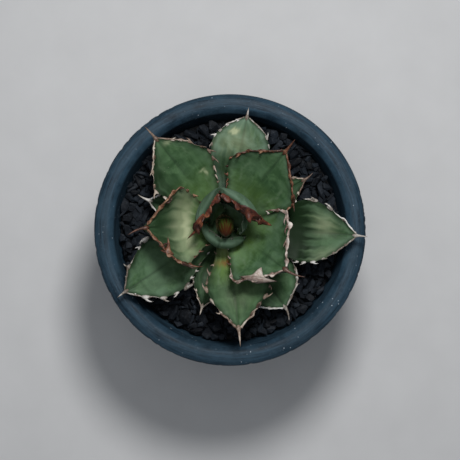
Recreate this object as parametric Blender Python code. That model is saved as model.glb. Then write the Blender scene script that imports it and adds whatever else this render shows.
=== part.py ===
"""A small agave in a dark plastic pot: pot, potting mix, stem with its roots, a dressing of
broken lava, and a rosette of toothed leaves that each turn by the golden angle.

Metres, +Z up. The pot stands on z = 0 and its axis is the Z axis.
"""

import math
import random
from dataclasses import dataclass

import bmesh
import bpy
from mathutils import Matrix, Vector
from mathutils.bvhtree import BVHTree

MM = 0.001
GAP = 0.3 * MM  # the space kept between pieces that rest on or touch each other

# Pot: a tapered shell with a rolled rim, a raised floor and a foot ring.
RIM_DIAMETER = 136.4 * MM
RIM_WIDTH = 9.8 * MM
RIM_DROP = 10.5 * MM
RIM_THICKNESS = 2.4 * MM
RIM_CROWN = 1.3 * MM
POT_HEIGHT = 112 * MM
BASE_DIAMETER = 92 * MM
WALL = 2.2 * MM
FLOOR_THICKNESS = 2.4 * MM
FOOT_HEIGHT = 4 * MM
FOOT_WIDTH = 4.5 * MM
FOOT_NOTCHES = 4
NOTCH_WIDTH = 9 * MM
CENTRE_DRAIN_DIAMETER = 12 * MM
DRAIN_DIAMETER = 7 * MM
DRAIN_CIRCLE_DIAMETER = 56 * MM
DRAINS = 8
POT_SEGMENTS = 48

# Fill: potting mix below, then a bed of small stones, then larger loose stones on the bed.
HEADSPACE = 11 * MM  # from the rim's top down to the tops of the loose stones
DRESSING_DEPTH = 14 * MM
BED_ROUGHNESS = 0.9 * MM
STONE_HEIGHT = 5.4 * MM
STONE_LENGTH = 9.4 * MM
STONE_WIDTH = 7.4 * MM
STONE_CORNERS = 13
STONE_ROWS = ((4.2 * MM, 24), (14.2 * MM, 14))  # from the wall in to the stones' middles, stones

# Stem and roots.
STEM_CENTRE = Vector((-2.0 * MM, 3.0 * MM, 0.0))
STEM_RADIUS = 8.0 * MM
STEM_RISE = 21 * MM  # above the dressing
ROOT_CROWN_DEPTH = 16 * MM  # below the top of the potting mix
ROOTS = 7
ROOT_REACH = 30 * MM
ROOT_DROP = 38 * MM
ROOT_RADIUS = 1.9 * MM

# Heart: the youngest leaves, still rolled into one pointed bud on top of the stem.
BUD_RADIUS = 3.4 * MM
BUD_HEIGHT = 22 * MM
BUD_LEAN = 6.2 * MM  # towards -Y at its tip

# Leaves. Each older leaf stands a golden angle further round and a little lower on the stem.
GOLDEN_ANGLE = 137.508
HEART_AZIMUTH = 149.5
LEAF_STEP_DOWN = 1.33 * MM
FOOT_DEPTH = 4.5 * MM  # how far inside the stem a leaf's midrib starts, before the stem cuts it
LEAF_STATIONS = 13
LEAF_POINTS_ACROSS = 7
BASE_THICKNESS = 4.4 * MM
TIP_THICKNESS = 1.7 * MM
BASE_CURL = 62.0  # how far a leaf's foot wraps the stem, each way, in degrees
SPINE_RADIUS = 0.85 * MM


@dataclass
class Leaf:
    """One leaf, in millimetres and degrees, measured from the stem's axis and the dressing."""

    name: str
    nudge: float  # the leaf's own turn away from the exact spiral, in degrees
    reach: float  # from the stem's axis out to the blade's tip
    rise: float  # from the dressing up to the blade's tip
    leaving: float  # the midrib's slope where it leaves the stem
    arriving: float  # the midrib's slope at the tip
    half_width: float  # measured round the blade's curve
    curl: float  # how far each half of the blade turns up at its widest
    spine: float
    tooth: float = 2.0
    thickness: float = 1.0  # as a share of an ordinary leaf's
    skew: float = 0.0  # how much wider the left half is than the right
    blunt: float = 0.0  # how full the blade's shoulders are, 0 for a plain point


# From the heart outwards, which is also from the youngest to the oldest.
LEAVES = (
    Leaf("leaf_01", 14, 9.5, 41, 60, 100, 14.0, 70, 2.5, tooth=1.0, thickness=0.40),
    Leaf("leaf_02", 17, 7.5, 34, 20, 125, 15.0, 95, 2.5, tooth=1.0, thickness=0.45),
    Leaf("leaf_03", 4, 15.5, 51, 30, 96, 24.8, 100, 3.5, tooth=2.4, thickness=0.55, skew=-0.05),
    Leaf("leaf_04", 3, 36.0, 41, 34, 48, 23.0, 44, 10.5, tooth=2.4, skew=0.065),
    Leaf("leaf_05", 1, 38.5, 37, 32, 40, 21.5, 52, 9.5, tooth=2.6),
    Leaf("leaf_06", 6, 45.0, 36, 30, 34, 20.5, 36, 9.0, tooth=2.2),
    Leaf("leaf_07", 10, 51.5, 27, 24, 14, 16.5, 30, 9.0, skew=0.15),
    Leaf("leaf_08", 0, 54.0, 25, 22, 16, 17.0, 30, 8.5, blunt=0.1),
    Leaf("leaf_09", 3, 64.5, 20, 14, 10, 16.6, 26, 5.8, blunt=0.2),
    Leaf("leaf_10", -0.5, 60.0, 17.5, 12, 10, 16.0, 26, 5.0, blunt=0.3),
    Leaf("leaf_11", 2, 54.0, 16.5, 14, 0, 15.6, 26, 5.0, tooth=1.6, blunt=0.9),
    Leaf("leaf_12", 6, 51.0, 11.5, 8, 4, 15.5, 24, 6.5, tooth=1.6, skew=0.1, blunt=0.8),
    Leaf("leaf_13", 1, 40.0, 10.5, 8, 4, 11.0, 22, 6.5, tooth=1.4),
    Leaf("leaf_14", 5, 45.0, 9.5, 7, 4, 10.5, 22, 5.5, tooth=1.4),
    Leaf("leaf_15", 7, 43.0, 8.5, 6, 4, 10.5, 22, 5.5, tooth=1.4),
)

# The outline's half width along the blade, as shares of its length and of its widest.
OUTLINE = ((0.0, 0.46), (0.22, 0.52), (0.45, 0.84), (0.62, 1.0), (0.78, 0.77), (0.9, 0.40), (1.0, 0.07))
SHOULDERS = (0, 0, 0, 0, 0.20, 0.30, 0.02)  # what a fully blunt leaf adds to each of these widths

COLOURS = {
    "pot_plastic": ((0.045, 0.062, 0.080), 0.55),
    "potting_mix": ((0.060, 0.040, 0.026), 0.95),
    "lava": ((0.016, 0.018, 0.024), 0.80),
    "stem": ((0.330, 0.300, 0.160), 0.70),
    "leaf": ((0.050, 0.098, 0.055), 0.45),
    "heart": ((0.150, 0.130, 0.030), 0.40),
}

RIM_RADIUS = RIM_DIAMETER / 2
MOUTH_RADIUS = RIM_RADIUS - RIM_WIDTH
BASE_RADIUS = BASE_DIAMETER / 2
FLOOR_TOP = FOOT_HEIGHT + FLOOR_THICKNESS
DRESSING_TOP = POT_HEIGHT - HEADSPACE
SOIL_TOP = DRESSING_TOP - DRESSING_DEPTH
BED_TOP = DRESSING_TOP - STONE_HEIGHT - GAP


def clear_scene():
    for old in list(bpy.data.objects):
        bpy.data.objects.remove(old)


def material(name):
    found = bpy.data.materials.get(name)
    if found:
        return found
    colour, roughness = COLOURS[name]
    made = bpy.data.materials.new(name)
    made.use_nodes = True
    shader = made.node_tree.nodes["Principled BSDF"]
    shader.inputs["Base Color"].default_value = (*colour, 1.0)
    shader.inputs["Roughness"].default_value = roughness
    shader.inputs["Metallic"].default_value = 0.0
    return made


def add_object(name, bm, finish, origin=(0, 0, 0)):
    """Turns a bmesh, drawn about the world's origin, into an object whose own origin is at origin."""
    bmesh.ops.recalc_face_normals(bm, faces=bm.faces)
    bmesh.ops.translate(bm, verts=bm.verts, vec=-Vector(origin))
    mesh = bpy.data.meshes.new(name)
    bm.to_mesh(mesh)
    bm.free()
    mesh.materials.append(material(finish))
    mesh.shade_smooth()
    mesh.set_sharp_from_angle(angle=math.radians(35))
    made = bpy.data.objects.new(name, mesh)
    made.location = origin
    bpy.context.scene.collection.objects.link(made)
    return made


def spun(profile, segments=POT_SEGMENTS):
    """A turned body about Z. An open profile starts and ends on the axis; a closed one repeats its start."""
    bm = bmesh.new()
    verts = [bm.verts.new((r, 0, z)) for r, z in profile]
    edges = [bm.edges.new(pair) for pair in zip(verts, verts[1:])]
    bmesh.ops.spin(
        bm,
        geom=verts + edges,
        cent=(0, 0, 0),
        axis=(0, 0, 1),
        angle=2 * math.pi,
        steps=segments,
        use_merge=True,
    )
    bmesh.ops.remove_doubles(bm, verts=bm.verts, dist=0.01 * MM)
    bmesh.ops.dissolve_degenerate(bm, dist=0.001 * MM, edges=bm.edges)
    return bm


def loft(rings, tip=None):
    """Joins equal rings of points into one closed body, ending in a flat cap or in a point."""
    bm = bmesh.new()
    loops = [[bm.verts.new(p) for p in ring] for ring in rings]
    count = len(loops[0])
    for lower, upper in zip(loops, loops[1:]):
        for k in range(count):
            nxt = (k + 1) % count
            bm.faces.new((lower[k], lower[nxt], upper[nxt], upper[k]))
    bm.faces.new(loops[0][::-1])
    if tip is None:
        bm.faces.new(loops[-1])
    else:
        end = bm.verts.new(tip)
        for k in range(count):
            bm.faces.new((loops[-1][k], loops[-1][(k + 1) % count], end))
    return bm


def smooth_value(knots, x):
    """A smooth curve through (x, value) knots."""
    last = len(knots) - 1
    i = next((k for k in range(last - 1) if x <= knots[k + 1][0]), last - 1)
    slopes = []
    for k in (i, i + 1):
        before, after = knots[max(0, k - 1)], knots[min(last, k + 1)]
        slopes.append((after[1] - before[1]) / (after[0] - before[0]))
    (start, low), (end, high) = knots[i], knots[i + 1]
    length = end - start
    t = (x - start) / length
    ends = (2 * t**3 - 3 * t**2 + 1) * low + (3 * t**2 - 2 * t**3) * high
    return ends + length * ((t**3 - 2 * t**2 + t) * slopes[0] + (t**3 - t**2) * slopes[1])


# Pot


def wall_radius(z):
    """The pot's inner radius at height z, on the straight taper from the floor to the mouth."""
    share = (z - FLOOR_TOP) / (POT_HEIGHT - FLOOR_TOP)
    return BASE_RADIUS - WALL + share * (MOUTH_RADIUS - BASE_RADIUS + WALL)


def pot_profile():
    """The shell's section as a closed line, from the centre drain out and up to the rim and back inside."""
    plate = POT_HEIGHT - RIM_CROWN - RIM_THICKNESS
    lip = POT_HEIGHT - RIM_DROP
    edge = 0.7 * MM
    crown = []
    steps = 8
    for k in range(steps + 1):
        across = math.cos(math.pi * k / steps)  # 1 at the rim's outer edge, -1 at the mouth
        r = RIM_RADIUS - RIM_WIDTH / 2 + across * RIM_WIDTH / 2
        crown.append((r, POT_HEIGHT - RIM_CROWN * abs(across) ** 3 - (edge if abs(across) == 1 else 0)))
    points = [
        (CENTRE_DRAIN_DIAMETER / 2, FOOT_HEIGHT),
        (BASE_RADIUS - FOOT_WIDTH, FOOT_HEIGHT),
        (BASE_RADIUS - FOOT_WIDTH, 0),
        (BASE_RADIUS - edge, 0),
        (BASE_RADIUS, edge),
        (wall_radius(plate) + WALL, plate),
        (RIM_RADIUS - WALL, plate),
        (RIM_RADIUS - WALL, lip),
        (RIM_RADIUS - edge, lip),
        (RIM_RADIUS, lip + edge),
        *crown,
        (wall_radius(FLOOR_TOP + 2 * MM), FLOOR_TOP + 2 * MM),
        (wall_radius(FLOOR_TOP) - 2 * MM, FLOOR_TOP),
        (CENTRE_DRAIN_DIAMETER / 2, FLOOR_TOP),
    ]
    return points + points[:1]


def add_cutter(name, bm):
    made = add_object(name, bm, "pot_plastic")
    made.hide_render = True
    made.display_type = "WIRE"
    return made


def cut_with(obj, cutter, solver="EXACT"):
    modifier = obj.modifiers.new(cutter.name, "BOOLEAN")
    modifier.operation = "DIFFERENCE"
    modifier.solver = solver
    modifier.object = cutter


def make_pot():
    pot = add_object("pot", spun(pot_profile()), "pot_plastic")
    drains = bmesh.new()
    in_floor = Matrix.Translation((DRAIN_CIRCLE_DIAMETER / 2, 0, FOOT_HEIGHT + FLOOR_THICKNESS / 2))
    for k in range(DRAINS):
        turn = Matrix.Rotation(2 * math.pi * (k + 0.5) / DRAINS, 4, "Z")
        bmesh.ops.create_cone(
            drains,
            cap_ends=True,
            segments=16,
            radius1=DRAIN_DIAMETER / 2,
            radius2=DRAIN_DIAMETER / 2,
            depth=4 * FLOOR_THICKNESS,
            matrix=turn @ in_floor,
        )
    cut_with(pot, add_cutter("drain_cutter", drains))
    notches = bmesh.new()
    for k in range(FOOT_NOTCHES):
        turn = Matrix.Rotation(2 * math.pi * (k + 0.5) / FOOT_NOTCHES, 4, "Z")
        size = Matrix.Diagonal((3 * FOOT_WIDTH, NOTCH_WIDTH, 1.2 * FOOT_HEIGHT, 1))
        place = Matrix.Translation((BASE_RADIUS - FOOT_WIDTH / 2, 0, 0))
        bmesh.ops.create_cube(notches, size=1, matrix=turn @ place @ size)
    cut_with(pot, add_cutter("notch_cutter", notches))
    return pot


# Stem and roots


def tube(path, radii, sides=6, tip=None):
    """A tapering tube along a path, with rings square to it, ending in a flat cap or in a point."""
    rings = []
    for k, point in enumerate(path):
        along = path[min(k + 1, len(path) - 1)] - path[max(k - 1, 0)]
        turn = along.to_track_quat("Z", "Y").to_matrix()
        ring = []
        for j in range(sides):
            angle = 2 * math.pi * j / sides
            ring.append(point + turn @ Vector((math.cos(angle), math.sin(angle), 0)) * radii[k])
        rings.append(ring)
    return loft(rings, tip)


def root_path(k, points=7):
    azimuth = math.radians(GOLDEN_ANGLE * k + 20)
    out = Vector((math.cos(azimuth), math.sin(azimuth), 0))
    side = Vector((-out.y, out.x, 0))
    start = STEM_CENTRE + Vector((0, 0, SOIL_TOP - ROOT_CROWN_DEPTH * (0.45 + 0.06 * k)))
    path = []
    for j in range(points):
        t = j / (points - 1)
        wander = math.sin(3.2 * t + k) * 3 * MM * t
        path.append(start + out * ROOT_REACH * t**0.8 + side * wander - Vector((0, 0, ROOT_DROP * t**1.5)))
    return path


def stem_body(grow=0.0):
    """The stem alone, or one that is larger by grow on every side."""
    low, high = SOIL_TOP - ROOT_CROWN_DEPTH - grow, DRESSING_TOP + STEM_RISE + grow
    profile = [
        (0, low),
        (0.45 * STEM_RADIUS + grow, low + 1.5 * MM),
        (0.85 * STEM_RADIUS + grow, low + 7 * MM),
        (STEM_RADIUS + grow, SOIL_TOP),
        (STEM_RADIUS + grow, high - 12 * MM),
        (0.78 * STEM_RADIUS + grow, high - 5 * MM),
        (0.45 * STEM_RADIUS + grow, high - 1 * MM),
        (0, high),
    ]
    bm = spun(profile, segments=24)
    bmesh.ops.translate(bm, verts=bm.verts, vec=STEM_CENTRE)
    return bm


def root_body(k, grow=0.0):
    path = root_path(k)
    last = len(path) - 1
    path[last] += (path[last] - path[last - 1]).normalized() * grow
    return tube(path, [ROOT_RADIUS * (1 - 0.72 * j / last) + grow for j in range(last + 1)])


def make_stem():
    """The short stem, with its roots joined on."""
    stem = add_object("stem_and_roots", stem_body(), "stem", origin=STEM_CENTRE + Vector((0, 0, SOIL_TOP)))
    for k in range(ROOTS):
        join = stem.modifiers.new(f"root_{k + 1}", "BOOLEAN")
        join.operation = "UNION"
        join.solver = "EXACT"
        join.object = add_cutter(f"root_{k + 1}", root_body(k))
    return bake_modifiers(stem)


# Fill


def make_potting_mix(room_for_stem):
    floor = FLOOR_TOP + GAP
    profile = [
        (0, floor),
        (wall_radius(FLOOR_TOP) - 2 * MM - GAP, floor),
        (wall_radius(FLOOR_TOP + 2 * MM) - GAP, floor + 2 * MM),
        (wall_radius(SOIL_TOP) - GAP, SOIL_TOP),
        (0, SOIL_TOP),
    ]
    mix = add_object("potting_mix", spun(profile), "potting_mix")
    room_for_roots = [add_cutter(f"room_for_root_{k + 1}", root_body(k, GAP)) for k in range(ROOTS)]
    carve(mix, [room_for_stem, *room_for_roots])
    return mix


def make_stone_bed(room_for_stem):
    """The lower layer of the dressing, as one piece with an uneven top."""
    rings = 7
    bottom = SOIL_TOP + GAP
    profile = [(0, bottom), (wall_radius(bottom) - GAP, bottom)]
    for k in range(rings):
        profile.append(((wall_radius(BED_TOP) - GAP) * (1 - k / rings), BED_TOP))
    profile.append((0, BED_TOP))
    bm = spun(profile)
    chance = random.Random(11)
    for v in bm.verts:
        inner = math.hypot(v.co.x, v.co.y) < wall_radius(BED_TOP) - 2 * GAP
        if v.co.z > BED_TOP - GAP and inner:
            v.co.z -= BED_ROUGHNESS * chance.random()
    bed = add_object("stone_bed", bm, "lava")
    carve(bed, [room_for_stem])
    return bed


def make_loose_stones():
    """Broken stones lying on the bed, each the hull of a few corners on an uneven ellipsoid."""
    chance = random.Random(29)
    stones = []
    for inset, count in STONE_ROWS:
        for k in range(count):
            azimuth = 2 * math.pi * (k + 0.5) / count
            centre = Vector((math.cos(azimuth), math.sin(azimuth), 0)) * (wall_radius(BED_TOP) - inset)
            centre.z = BED_TOP + GAP + STONE_HEIGHT / 2
            bm = bmesh.new()
            for _ in range(STONE_CORNERS):
                way = Vector((chance.gauss(0, 1), chance.gauss(0, 1), chance.gauss(0, 1))).normalized()
                size = Vector((STONE_LENGTH, STONE_WIDTH, STONE_HEIGHT)) * (0.5 * chance.uniform(0.86, 1.0))
                bm.verts.new(Vector((way.x * size.x, way.y * size.y, way.z * size.z)))
            hull = bmesh.ops.convex_hull(bm, input=bm.verts)
            inside = [g for g in hull["geom_interior"] if isinstance(g, bmesh.types.BMVert)]
            bmesh.ops.delete(bm, geom=inside, context="VERTS")
            spin = Matrix.Rotation(azimuth + math.pi / 2 + chance.uniform(-0.35, 0.35), 4, "Z")
            bmesh.ops.transform(bm, matrix=Matrix.Translation(centre) @ spin, verts=bm.verts)
            stones.append(add_object(f"stone_{len(stones) + 1:02d}", bm, "lava", origin=centre))
    return stones


# Heart and leaves


def bud_body(grow=0.0):
    """The rolled bud, which starts inside the stem's top, or one that is larger by grow on every side."""
    foot = STEM_CENTRE + Vector((0, 0, DRESSING_TOP + STEM_RISE - 2 * MM - grow))
    steps = 8
    path, radii = [], []
    for j in range(steps):
        t = j / steps
        path.append(foot + Vector((0, -BUD_LEAN * t * t, BUD_HEIGHT * t)))
        radii.append(BUD_RADIUS * (0.82 + 1.3 * t - 2.0 * t * t) + grow)
    tip = foot + Vector((0, -BUD_LEAN, BUD_HEIGHT + 2 * grow))
    return tube(path, radii, sides=12, tip=tip)


@dataclass
class Frame:
    """Where a leaf stands: its midrib's Bezier points, and the three directions of its sections."""

    points: tuple
    along: Vector  # from foot to tip
    across: Vector
    up: Vector  # out of the upper face


def leaf_frame(order, leaf):
    azimuth = math.radians(HEART_AZIMUTH - GOLDEN_ANGLE * order + leaf.nudge)
    out = Vector((math.cos(azimuth), math.sin(azimuth), 0))
    foot_height = STEM_RISE - LEAF_STEP_DOWN * (order + 1)
    foot = STEM_CENTRE + out * (STEM_RADIUS - FOOT_DEPTH) + Vector((0, 0, DRESSING_TOP + foot_height))
    tip = STEM_CENTRE + out * leaf.reach * MM + Vector((0, 0, DRESSING_TOP + leaf.rise * MM))
    pull = 0.38 * (tip - foot).length
    leaving, arriving = (
        out * math.cos(math.radians(slope)) + Vector((0, 0, math.sin(math.radians(slope))))
        for slope in (leaf.leaving, leaf.arriving)
    )
    points = (foot, foot + leaving * pull, tip - arriving * pull, tip)
    along = (tip - foot).normalized()
    across = Vector((-out.y, out.x, 0))
    return Frame(points, along, across, along.cross(across))


def midrib(frame, s):
    """The midrib's place at share s of the blade."""
    weights = ((1 - s) ** 3, 3 * s * (1 - s) ** 2, 3 * s**2 * (1 - s), s**3)
    return sum((point * weight for point, weight in zip(frame.points, weights)), Vector())


def leaf_ring(leaf, frame, s, tooth, grow):
    """One section of a leaf, across its upper face and back along its lower face."""
    place = midrib(frame, s)
    outline = [(share, width + leaf.blunt * more) for (share, width), more in zip(OUTLINE, SHOULDERS)]
    half_width = leaf.half_width * MM * smooth_value(outline, s) + tooth
    settled = min(1.0, s / 0.4)
    curl = math.radians(BASE_CURL + (leaf.curl - BASE_CURL) * settled * settled * (3 - 2 * settled))
    middle = leaf.thickness * (BASE_THICKNESS + (TIP_THICKNESS - BASE_THICKNESS) * s)
    upper, lower = [], []
    for k in range(LEAF_POINTS_ACROSS):
        u = 2 * k / (LEAF_POINTS_ACROSS - 1) - 1
        angle = u * curl
        bend = half_width * (1 + leaf.skew * math.copysign(1, u)) / curl
        face = frame.up * math.cos(angle) - frame.across * math.sin(angle)
        edgeward = frame.across * math.cos(angle) + frame.up * math.sin(angle)
        point = place + frame.across * (bend * math.sin(angle)) + frame.up * (bend * (1 - math.cos(angle)))
        if abs(u) == 1:
            upper.append(point + edgeward * math.copysign(grow, u))
        else:
            upper.append(point + face * grow)
            lower.append(point - face * (middle * (1 - abs(u) ** 2.5) + grow))
    return upper + lower[::-1]


def spine_ring(frame, radius):
    """The round foot of the end spine, with its points in the same order as a section's."""
    count = 2 * (LEAF_POINTS_ACROSS - 1)
    centre = frame.points[3] + frame.along * 0.8 * MM
    ring = []
    for k in range(count):
        angle = math.pi - 2 * math.pi * k / count
        ring.append(centre + (frame.across * math.cos(angle) + frame.up * math.sin(angle)) * radius)
    return ring


def leaf_body(order, leaf, grow=0.0):
    """The whole leaf, or one that is larger by grow on every side."""
    frame = leaf_frame(order, leaf)
    rings = []
    for k in range(LEAF_STATIONS):
        s = k / (LEAF_STATIONS - 1)
        toothed = k % 2 == 1 and 0.3 < s < 0.97
        rings.append(leaf_ring(leaf, frame, s, leaf.tooth * MM if toothed else 0.0, grow))
    rings[0] = [p - frame.along * grow for p in rings[0]]
    rings.append(spine_ring(frame, SPINE_RADIUS * min(1.0, leaf.thickness + 0.2) + grow))
    arriving = (frame.points[3] - frame.points[2]).normalized()
    return loft(rings, tip=frame.points[3] + arriving * (leaf.spine * MM + grow))


def make_heart_and_leaves(room_for_stem):
    """Builds the bud and each leaf, then cuts away what the stem and the younger leaves already fill."""
    stem_top = STEM_CENTRE + Vector((0, 0, DRESSING_TOP + STEM_RISE))
    bud = add_object("heart_bud", bud_body(), "heart", origin=stem_top)
    carve(bud, [room_for_stem])
    filled = [room_for_stem, add_cutter("room_for_heart_bud", bud_body(GAP))]
    for order, leaf in enumerate(LEAVES, start=1):
        foot = leaf_frame(order, leaf).points[0]
        made = add_object(leaf.name, leaf_body(order, leaf), "leaf", origin=foot)
        carve(made, [cutter for cutter in filled if touches(made, cutter)])
        filled.append(add_cutter(f"room_for_{leaf.name}", leaf_body(order, leaf, GAP)))


# Cutting one piece by its neighbours


def world_bmesh(obj):
    bm = bmesh.new()
    bm.from_mesh(obj.data)
    bmesh.ops.transform(bm, matrix=Matrix.Translation(obj.location), verts=bm.verts)
    bm.normal_update()
    return bm


def touches(obj, other):
    first, second = world_bmesh(obj), world_bmesh(other)
    found = BVHTree.FromBMesh(first).overlap(BVHTree.FromBMesh(second))
    first.free()
    second.free()
    return bool(found)


def bake_modifiers(obj):
    """Replaces the mesh by the one its modifiers give."""
    bpy.context.view_layer.update()
    graph = bpy.context.evaluated_depsgraph_get()
    made = bpy.data.meshes.new_from_object(obj.evaluated_get(graph))
    obj.modifiers.clear()
    obj.data = made
    return obj


def keep_largest(obj):
    """Drops the loose crumbs that a cut leaves beside the main body."""
    bm = bmesh.new()
    bm.from_mesh(obj.data)
    bm.verts.ensure_lookup_table()
    groups, seen = [], set()
    for start in bm.verts:
        if start.index in seen:
            continue
        group, waiting = [], [start]
        seen.add(start.index)
        while waiting:
            v = waiting.pop()
            group.append(v)
            for edge in v.link_edges:
                other = edge.other_vert(v)
                if other.index not in seen:
                    seen.add(other.index)
                    waiting.append(other)
        groups.append(group)
    groups.sort(key=len)
    bmesh.ops.delete(bm, geom=[v for group in groups[:-1] for v in group], context="VERTS")
    bm.to_mesh(obj.data)
    bm.free()


def carve(obj, cutters):
    """Cuts obj by each cutter. EXACT loses a leaf after several such cuts, and MANIFOLD doesn't."""
    for cutter in cutters:
        cut_with(obj, cutter, solver="MANIFOLD")
    bake_modifiers(obj)
    keep_largest(obj)


def main():
    clear_scene()
    make_pot()
    make_stem()
    room_for_stem = add_cutter("room_for_stem", stem_body(GAP))
    make_potting_mix(room_for_stem)
    make_stone_bed(room_for_stem)
    make_loose_stones()
    make_heart_and_leaves(room_for_stem)


main()
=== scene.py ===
import math
import random
from dataclasses import dataclass

import bmesh
import bpy
import numpy as np
from mathutils import Matrix, Vector
from mathutils.bvhtree import BVHTree


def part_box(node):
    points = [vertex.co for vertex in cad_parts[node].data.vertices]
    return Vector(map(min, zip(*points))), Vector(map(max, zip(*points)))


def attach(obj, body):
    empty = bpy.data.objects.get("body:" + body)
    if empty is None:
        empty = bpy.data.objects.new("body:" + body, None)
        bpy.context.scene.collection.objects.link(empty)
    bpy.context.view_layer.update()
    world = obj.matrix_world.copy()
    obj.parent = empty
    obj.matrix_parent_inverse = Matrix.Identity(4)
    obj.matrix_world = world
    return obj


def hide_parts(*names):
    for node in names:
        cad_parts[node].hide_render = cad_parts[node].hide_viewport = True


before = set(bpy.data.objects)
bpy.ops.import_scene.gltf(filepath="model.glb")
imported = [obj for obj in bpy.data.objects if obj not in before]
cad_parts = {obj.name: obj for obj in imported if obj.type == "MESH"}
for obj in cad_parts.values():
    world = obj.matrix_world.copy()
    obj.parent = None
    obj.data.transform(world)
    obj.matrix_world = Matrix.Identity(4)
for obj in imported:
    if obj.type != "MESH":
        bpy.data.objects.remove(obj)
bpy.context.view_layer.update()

# The pot. One moulding in dark matt plastic: a tapered cup whose rim is turned out and down, with a
# raised floor, drainage holes and a notched foot ring. Fine turned lines run round it, and dust,
# scuffs and small knocks show on the rim.
MM = 0.001
RIM_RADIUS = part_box("pot")[1].x
RIM_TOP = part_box("pot")[1].z
RIM_WIDTH = 9.8 * MM
RIM_DROP = 10.5 * MM
RIM_CROWN = 1.3 * MM
RIM_PLATE = 2.4 * MM
BASE_RADIUS = 46 * MM
WALL = 2.2 * MM
FOOT_HEIGHT = 4 * MM
FOOT_WIDTH = 4.5 * MM
FLOOR_TOP = 6.4 * MM
CENTRE_DRAIN_RADIUS = 6 * MM
DRAIN_RADIUS = 3.5 * MM
DRAIN_CIRCLE_RADIUS = 28 * MM
DRAINS = 8
NOTCHES = 4
NOTCH_WIDTH = 9 * MM
POT_SEGMENTS = 640
KNOCKS = 46
MOUTH_RADIUS = RIM_RADIUS - RIM_WIDTH


def wall_radius(z):
    """The pot's inner radius at height z."""
    share = (z - FLOOR_TOP) / (RIM_TOP - FLOOR_TOP)
    return BASE_RADIUS - WALL + share * (MOUTH_RADIUS - BASE_RADIUS + WALL)


def rounded_outline(corners, steps=5):
    """A closed outline through (r, z, radius) corners, with each corner rounded by its radius."""
    points = []
    for k, (r, z, radius) in enumerate(corners):
        here = Vector((r, z))
        before = Vector(corners[k - 1][:2]) - here
        after = Vector(corners[(k + 1) % len(corners)][:2]) - here
        reach = min(radius, 0.45 * before.length, 0.45 * after.length)
        start = here + before.normalized() * reach
        end = here + after.normalized() * reach
        for j in range(steps + 1):
            t = j / steps
            points.append(start.lerp(here, t).lerp(here.lerp(end, t), t))
    return points


def add_piece(name, verts, faces, finish, **readings):
    """A smooth mesh object. Each reading becomes a number, or a vector, at each of its points."""
    mesh = bpy.data.meshes.new(name)
    mesh.from_pydata(verts, [], faces)
    bm = bmesh.new()
    bm.from_mesh(mesh)
    bmesh.ops.recalc_face_normals(bm, faces=bm.faces)
    bm.to_mesh(mesh)
    bm.free()
    for key, values in readings.items():
        values = np.asarray(values, np.float32)
        kind, field = ("FLOAT", "value") if values.ndim == 1 else ("FLOAT_VECTOR", "vector")
        mesh.attributes.new(key, kind, "POINT").data.foreach_set(field, values.ravel())
    mesh.materials.append(finish)
    mesh.shade_smooth()
    piece = bpy.data.objects.new(name, mesh)
    bpy.context.scene.collection.objects.link(piece)
    return piece


def grid_faces(rows, columns, first=0):
    """Quads between rows of points, each row a closed ring of so many columns."""
    faces = []
    for i in range(rows - 1):
        for k in range(columns):
            a = first + i * columns + k
            b = first + i * columns + (k + 1) % columns
            faces.append((a, b, b + columns, a + columns))
    return faces


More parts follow.
